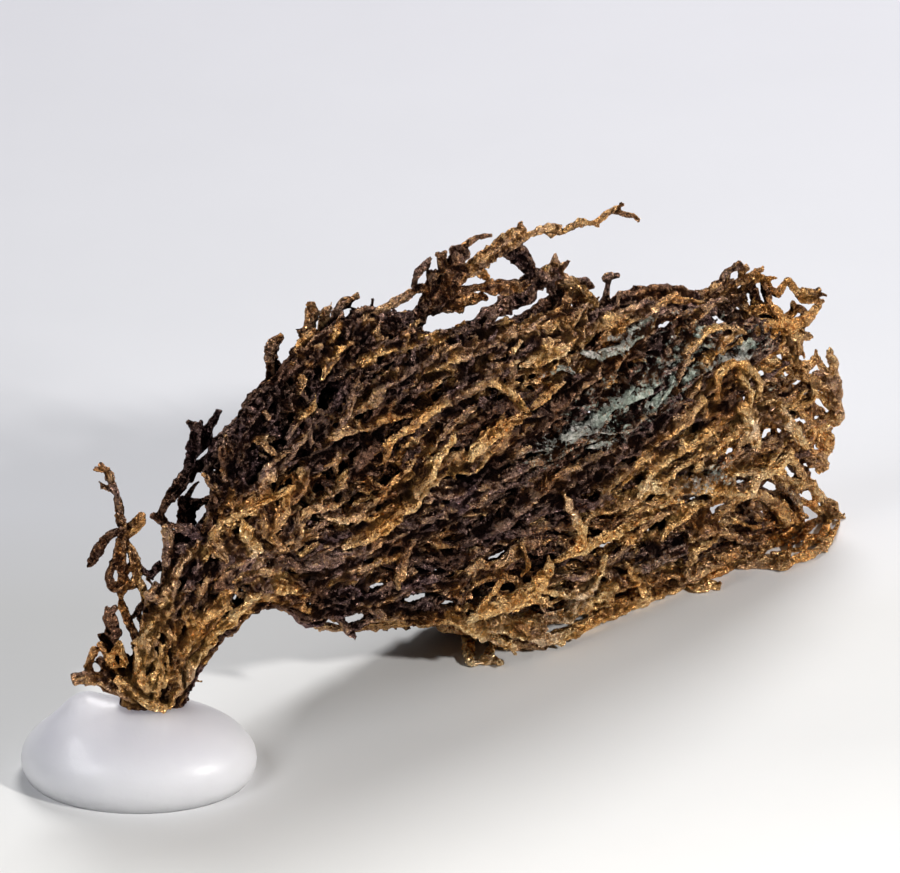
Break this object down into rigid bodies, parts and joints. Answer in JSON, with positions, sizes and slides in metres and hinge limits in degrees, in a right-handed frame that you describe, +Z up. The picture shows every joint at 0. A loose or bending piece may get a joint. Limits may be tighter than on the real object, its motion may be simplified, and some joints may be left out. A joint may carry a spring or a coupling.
{
  "type": "native copper nugget",
  "caption": "Arborescent native copper: a fan of fused, ropy strands rising from a root that stands in a soft putty foot.",
  "frame": {"origin": "middle of the object's box, on the surface that it rests on", "axes": "+Z up, +X from the putty foot towards the fan's tips, +Y away from the display side"},
  "size_m": [0.0828, 0.0602, 0.0485],
  "materials": {
    "tarnished_copper": "tarnished, satin",
    "verdigris_copper": "tarnished, part matt verdigris",
    "milky_putty": "smooth, translucent"
  },
  "bodies": {
    "root": {"putty_foot": "milky_putty", "root_stock": "tarnished_copper", "left_sprig": "tarnished_copper", "outer_branch": "tarnished_copper", "bottom_limb": "tarnished_copper", "lower_limb": "tarnished_copper", "middle_limb": "verdigris_copper", "upper_limb": "tarnished_copper", "crown_limb": "tarnished_copper", "top_spray": "tarnished_copper", "tip_cluster": "tarnished_copper"}
  },
  "joints": []
}
